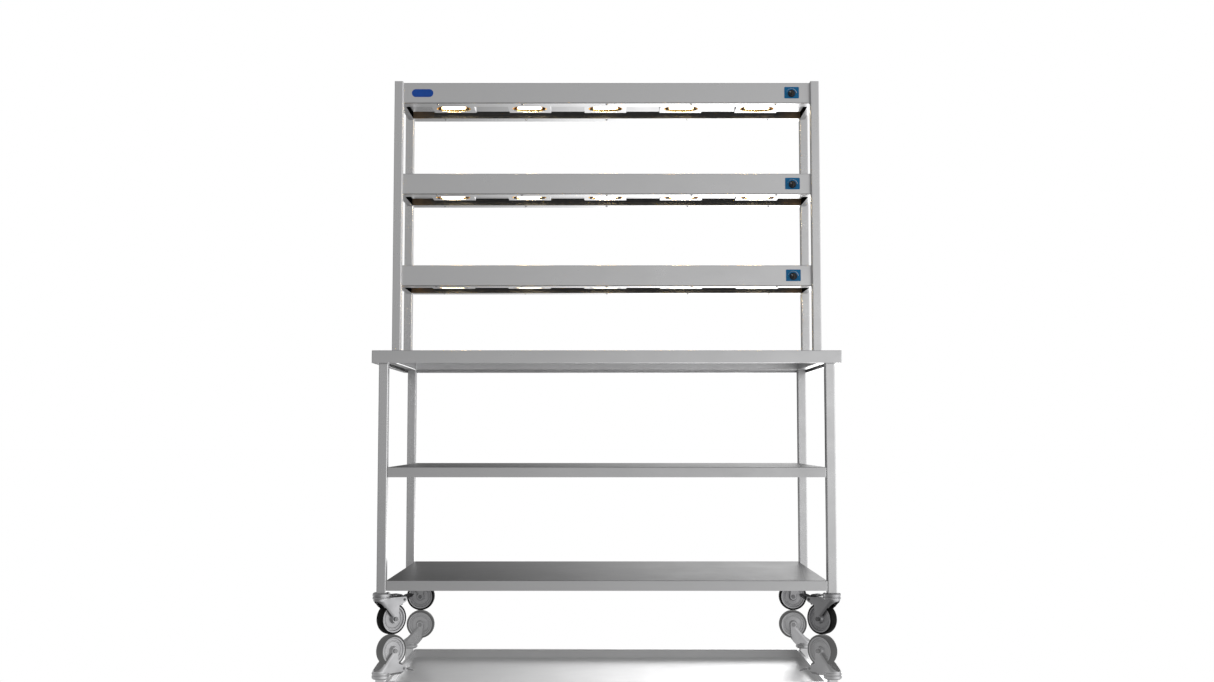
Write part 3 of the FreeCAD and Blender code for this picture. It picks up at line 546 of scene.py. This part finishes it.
def add_controls():
    for tier in TIERS:
        stand = knob_frame(tier)
        body = tier + "_control"
        shape = put(joined([knob_body(), finger_bar()]), stand)
        knob = add_piece(tier + "_fluted_knob", shape, knob_plastic, body)
        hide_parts(tier + "_knob")
        add_piece(tier + "_knob_pointer", put(pointer(), stand), pale_print, body)
        plate_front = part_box("control_plates")[0].y
        on_plate = Matrix.Translation((0, plate_front - stand.translation.y, 0)) @ stand
        add_piece(tier + "_heat_arc", put(heat_arc(), on_plate), pale_print, "table")


def stadium(length, width, inset, height, steps=24):
    """A ring of points round a shape with two round ends, moved in by an inset."""
    return round_bar(length - 2 * inset, width - 2 * inset, height, width / 2 - inset - 0.01, steps)


def add_badge():
    """The blank badge: a raised rim round a softly domed field."""
    low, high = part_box("badge")
    length = (high.x - low.x) / MM
    width = (high.z - low.z) / MM
    rim = ((0.0, 0.0), (0.0, 0.8), (0.4, 1.2), (1.5, 1.2), (2.0, 0.85))
    field = ((4.0, 0.95), (8.0, 1.1), (12.0, 1.15))
    rings = [stadium(length, width, inset, height) for inset, height in rim + field]
    stand = frame_at(((low.x + high.x) / 2, high.y, (low.z + high.z) / 2), (1, 0, 0), (0, -1, 0))
    blank = add_piece("blank_badge", put(skin(rings), stand), badge_blue, "table")
    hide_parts("badge")


def screw():
    """A domed screw, head up, with a cross recess."""
    steps = 64
    shank = ((2.0, -6.0), (2.0, 0.0), (4.5, 0.0), (4.5, 0.4))
    rings = [circle(radius, height, steps) for radius, height in shank]
    for radius in (4.3, 3.9, 3.3, 2.7, 2.35, 2.25, 2.0, 1.6, 1.2, 0.9, 0.65, 0.5, 0.3, 0.12):
        dome = SCREW_HEAD * math.sqrt(1.0 - (radius / 4.62) ** 2)
        ring = []
        for x, y, _ in circle(radius, 0.0, steps):
            in_arm = min(abs(x), abs(y)) < 0.42 and max(abs(x), abs(y)) < 2.3
            depth = 1.5 - 0.45 * radius if in_arm else 0.0
            ring.append((x, y, dome - depth))
        rings.append(ring)
    return skin(rings)


def separate_solids(mesh):
    """The points of each separate solid in a mesh."""
    edit = bmesh.new()
    edit.from_mesh(mesh)
    bmesh.ops.remove_doubles(edit, verts=edit.verts, dist=1e-6)
    seen = set()
    groups = []
    for start in edit.verts:
        if start in seen:
            continue
        seen.add(start)
        group = []
        front = [start]
        while front:
            vertex = front.pop()
            group.append(vertex.co.copy())
            for edge in vertex.link_edges:
                other = edge.other_vert(vertex)
                if other not in seen:
                    seen.add(other)
                    front.append(other)
        groups.append(group)
    edit.free()
    return groups


def add_screws():
    """Every pan screw, head down, each turned differently from the last."""
    shapes = []
    for group in separate_solids(nodes["pan_screws"].data):
        middle_x = (min(p.x for p in group) + max(p.x for p in group)) / 2
        middle_y = (min(p.y for p in group) + max(p.y for p in group)) / 2
        seat = min(p.z for p in group) + SCREW_HEAD * MM
        turn = math.radians(37.0 * len(shapes))
        stand = frame_at((middle_x, middle_y, seat), (math.cos(turn), math.sin(turn), 0), (0, 0, -1))
        shapes.append(put(screw(), stand))
    heads = add_piece("cross_recess_screws", joined(shapes), bright_steel, "table")
    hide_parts("pan_screws")


def tyre_skin():
    """A tyre in its wheel's frame, its axle along Z, with three grooves and a mould line on each wall."""
    wall = [(42.5, 14.5), (43.5, 16.0), (44.4, 16.0), (44.7, 16.25), (45.1, 16.25), (45.4, 16.0)]
    shoulder = [(45.9, 15.9), (47.4, 14.4), (48.6, 12.9), (49.3, 10.6), (49.6, 8.6), (49.72, 7.1)]
    tread = [(48.9, 6.8), (48.9, 5.9), (49.82, 5.6), (49.95, 3.0), (50.0, 0.7), (49.2, 0.45)]
    side = wall + shoulder + tread
    profile = side + [(radius, -height) for radius, height in reversed(side)]
    return loop_skin([circle(radius, height, 160) for radius, height in profile])


def wheel_frame(castor):
    """The frame of a wheel at rest, with its axle along the local Z axis."""
    roll = joint("roll_" + castor)
    return frame_at(roll["pos_m"], (0, 0, 1), roll["axis"])


def add_tyres():
    for castor in CORNERS:
        shape = put(tyre_skin(), wheel_frame(castor))
        tyre = add_piece("grooved_tyre_" + castor, shape, tyre_rubber, "wheel_" + castor)
        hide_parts("tyre_" + castor)


def tread_ribs():
    """Grip ribs across a brake pedal, along the slope of its tread. X trails from the swivel, in mm."""
    knee = Vector((91.0, 0.0, 112.0))
    tip = Vector((118.0, 0.0, 123.0))
    sizes = ((0.2, -17.5), (0.65, -17.2), (0.85, -16.6), (0.85, 16.6), (0.65, 17.2), (0.2, 17.5))
    rib = skin([circle(radius, height, 12) for radius, height in sizes])
    across = Matrix.Rotation(math.radians(90.0), 4, "X")
    middles = [knee.lerp(tip, 0.14 + 0.17 * k) for k in range(5)]
    return joined([put(rib, Matrix.Translation(middle) @ across) for middle in middles])


def add_pedal_ribs():
    for castor in BRAKED:
        swivel = Vector(joint("swivel_" + castor)["pos_m"])
        axle = Vector(joint("roll_" + castor)["pos_m"])
        trail = Vector((axle.x - swivel.x, axle.y - swivel.y, 0.0))
        shape = put(tread_ribs(), frame_at((swivel.x, swivel.y, 0.0), trail, (0, 0, 1)))
        add_piece("tread_ribs_" + castor, shape, pedal_steel, "pedal_" + castor)


def lamp_skin():
    """A quartz heat lamp along the local Z axis: pinched ends, round shoulders and a sealed tip."""
    half = LAMP_LENGTH / MM / 2
    pinch = [(0.6, half), (2.2, half), (2.7, half - 0.5), (2.75, half - 5.6), (3.3, half - 6.8)]
    side = pinch + [(4.3, half - 8.2), (4.85, half - 9.8), (5.0, half - 11.6), (5.0, 12.0)]
    profile = side + [(radius, -height) for radius, height in reversed(side)]
    tube = skin([circle(radius, height, 28) for radius, height in profile])
    tip_sizes = ((1.9, 4.4), (1.7, 5.2), (1.1, 5.9), (0.5, 6.6), (0.2, 6.9))
    tip = put(skin([circle(radius, height, 12) for radius, height in tip_sizes]),
              Matrix.Rotation(math.radians(90.0), 4, "Y"))
    return joined([tube, tip])


def add_lamps():
    """Every quartz lamp, at the pitch and lift of the CAD node."""
    shapes = []
    for tier in TIERS:
        low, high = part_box(tier + "_reflectors")
        first = low.x + REFLECTOR_LENGTH / 2
        pitch = (high.x - low.x - REFLECTOR_LENGTH) / (LAMPS_PER_TIER - 1)
        row_y = (low.y + high.y) / 2
        row_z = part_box(tier + "_tier_casing")[0].z + LAMP_LIFT
        for k in range(LAMPS_PER_TIER):
            stand = frame_at((first + pitch * k, row_y, row_z), (0, 0, 1), (1, 0, 0))
            shapes.append(put(lamp_skin(), stand))
    lamps = add_piece("sealed_quartz_lamps", joined(shapes), quartz, "table")
    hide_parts("quartz_tubes")


add_controls()
add_badge()
add_screws()
add_tyres()
add_pedal_ribs()
add_lamps()


# ---- studio ---------------------------------------------------------------------------------------
# How bright the studio is round the object: (compass angle from +Y towards +X in degrees, light).
STUDIO = (
    (-180, 0.60), (-171, 0.52), (-150, 0.42), (-120, 0.40), (-90, 0.55), (-60, 0.5), (-35, 0.46),
    (-14, 0.15), (-8, 0.16), (-3, 0.44), (3, 1.3), (8, 1.85), (15, 1.9), (26, 0.6), (65, 0.5),
    (90, 1.08), (118, 1.4), (138, 1.15), (155, 0.97), (165, 0.84), (171, 0.78), (180, 0.60),
)
# How that light changes with height, (height of the direction, share), for directions in front of the
# object to its left and to its right, and for directions behind it.
LEFT_LIGHT = ((-1.0, 0.38), (-0.15, 0.50), (0.0, 0.88), (0.3, 1.07), (1.0, 0.5))
RIGHT_LIGHT = ((-1.0, 0.35), (-0.2, 0.70), (-0.05, 1.45), (0.05, 1.55), (0.2, 0.88), (0.35, 0.58), (1.0, 0.4))
REAR_LIGHT = ((-1.0, 0.6), (-0.45, 1.0), (-0.3, 2.0), (-0.12, 2.0), (-0.05, 0.75), (-0.01, 0.3),
              (0.03, 0.24), (0.1, 0.88), (0.2, 1.0), (1.0, 0.45))


def graded(tree, source, start, end, stops):
    """A light that follows (place, light) stops between a start and an end."""
    spread = tree.nodes.new("ShaderNodeMapRange")
    spread.inputs["From Min"].default_value = start
    spread.inputs["From Max"].default_value = end
    tree.links.new(source, spread.inputs["Value"])
    ramp = tree.nodes.new("ShaderNodeValToRGB")
    while len(ramp.color_ramp.elements) < len(stops):
        ramp.color_ramp.elements.new(1.0)
    brightest = max(light for place, light in stops)
    for element, (place, light) in zip(ramp.color_ramp.elements, stops):
        element.position = (place - start) / (end - start)
        element.color = (light / brightest,) * 3 + (1.0,)
    tree.links.new(spread.outputs["Result"], ramp.inputs["Fac"])
    return combined(tree, "MULTIPLY", ramp.outputs["Color"], brightest)


def combined(tree, operation, first, second):
    """A math node over two outputs, or over an output and a number."""
    node = tree.nodes.new("ShaderNodeMath")
    node.operation = operation
    tree.links.new(first, node.inputs[0])
    if isinstance(second, float):
        node.inputs[1].default_value = second
    else:
        tree.links.new(second, node.inputs[1])
    return node.outputs[0]


def mixed(tree, factor, first, second):
    """A mix of two lights."""
    node = tree.nodes.new("ShaderNodeMix")
    node.data_type = "FLOAT"
    tree.links.new(factor, node.inputs["Factor"])
    tree.links.new(first, node.inputs["A"])
    tree.links.new(second, node.inputs["B"])
    return node.outputs["Result"]


def studio_glow(tree, direction):
    """The studio's light from a direction, as an output of a node tree."""
    split = tree.nodes.new("ShaderNodeSeparateXYZ")
    tree.links.new(direction, split.inputs[0])
    compass = combined(tree, "ARCTAN2", split.outputs["X"], split.outputs["Y"])
    around = graded(tree, combined(tree, "MULTIPLY", compass, math.degrees(1.0)), -180.0, 180.0, STUDIO)
    to_right = graded(tree, split.outputs["X"], -1.0, 1.0, ((-0.15, 0.0), (0.15, 1.0)))
    to_rear = graded(tree, split.outputs["Y"], -1.0, 1.0, ((0.1, 0.0), (0.4, 1.0)))
    left, right, rear = (graded(tree, split.outputs["Z"], -1.0, 1.0, stops)
                         for stops in (LEFT_LIGHT, RIGHT_LIGHT, REAR_LIGHT))
    height = mixed(tree, to_rear, mixed(tree, to_right, left, right), rear)
    return combined(tree, "MULTIPLY", around, height)


def seen_directly(tree):
    """1 for what the camera sees, straight or in a mirror-flat surface, and 0 for soft reflections."""
    path = tree.nodes.new("ShaderNodeLightPath")
    either = tree.nodes.new("ShaderNodeMath")
    either.operation = "MAXIMUM"
    tree.links.new(path.outputs["Is Camera Ray"], either.inputs[0])
    tree.links.new(path.outputs["Is Singular Ray"], either.inputs[1])
    return either.outputs[0]


def make_world():
    """White where it is seen directly, and the studio's light in soft reflections."""
    world = bpy.data.worlds.new("studio")
    world.use_nodes = True
    tree = world.node_tree
    tree.nodes.clear()
    where = tree.nodes.new("ShaderNodeTexCoord")
    white = tree.nodes.new("ShaderNodeValue")
    white.outputs[0].default_value = 1.0
    background = tree.nodes.new("ShaderNodeBackground")
    background.inputs["Color"].default_value = (1.0, 1.0, 1.0, 1.0)
    glow = studio_glow(tree, where.outputs["Generated"])
    light = mixed(tree, seen_directly(tree), glow, white.outputs[0])
    tree.links.new(light, background.inputs["Strength"])
    output = tree.nodes.new("ShaderNodeOutputWorld")
    tree.links.new(background.outputs[0], output.inputs["Surface"])
    bpy.context.scene.world = world


def make_floor():
    """A plain white gloss floor that mirrors most at a grazing angle and can be seen through from below.
    The steel reflects the studio instead of it."""
    bpy.ops.mesh.primitive_grid_add(size=120.0, x_subdivisions=8, y_subdivisions=8)
    floor = bpy.context.object
    floor.name = "studio_floor"
    s = Shader("white_floor", "ShaderNodeMixShader")
    white = s.tree.nodes.new("ShaderNodeEmission")
    white.inputs["Color"].default_value = (1.0, 1.0, 1.0, 1.0)
    mirror = s.tree.nodes.new("ShaderNodeBsdfGlossy")
    mirror.inputs["Roughness"].default_value = 0.0
    mirror.inputs["Color"].default_value = (1.0, 1.0, 1.0, 1.0)
    facing = s.tree.nodes.new("ShaderNodeLayerWeight")
    facing.inputs["Blend"].default_value = 0.5
    s.link(s.spread(facing.outputs["Facing"], 0.2, 0.91, 0.4, 0.85), s.surface.inputs["Fac"])
    s.link(white.outputs[0], s.surface.inputs[1])
    s.link(mirror.outputs[0], s.surface.inputs[2])
    side = s.tree.nodes.new("ShaderNodeNewGeometry")
    clear = s.tree.nodes.new("ShaderNodeBsdfTransparent")
    one_sided = s.tree.nodes.new("ShaderNodeMixShader")
    s.link(side.outputs["Backfacing"], one_sided.inputs["Fac"])
    s.link(s.surface.outputs[0], one_sided.inputs[1])
    s.link(clear.outputs[0], one_sided.inputs[2])
    s.link(one_sided.outputs[0], s.output.inputs["Surface"])
    floor.data.materials.append(s.material)
    floor.visible_glossy = False
    floor.visible_diffuse = False
    floor.visible_transmission = False
    floor.visible_shadow = False


def make_camera():
    """A camera at chest height in front, tilted up a little."""
    data = bpy.data.cameras.new("camera")
    data.lens = CAMERA_LENS
    data.sensor_width = 36.0
    data.clip_start = 0.05
    data.clip_end = 300.0
    camera = bpy.data.objects.new("camera", data)
    bpy.context.scene.collection.objects.link(camera)
    camera.location = CAMERA_PLACE
    camera.rotation_euler = (math.radians(90.0) + CAMERA_TILT, 0.0, 0.0)
    bpy.context.scene.camera = camera


make_world()
make_floor()
make_camera()
bpy.context.scene.view_settings.view_transform = "Standard"
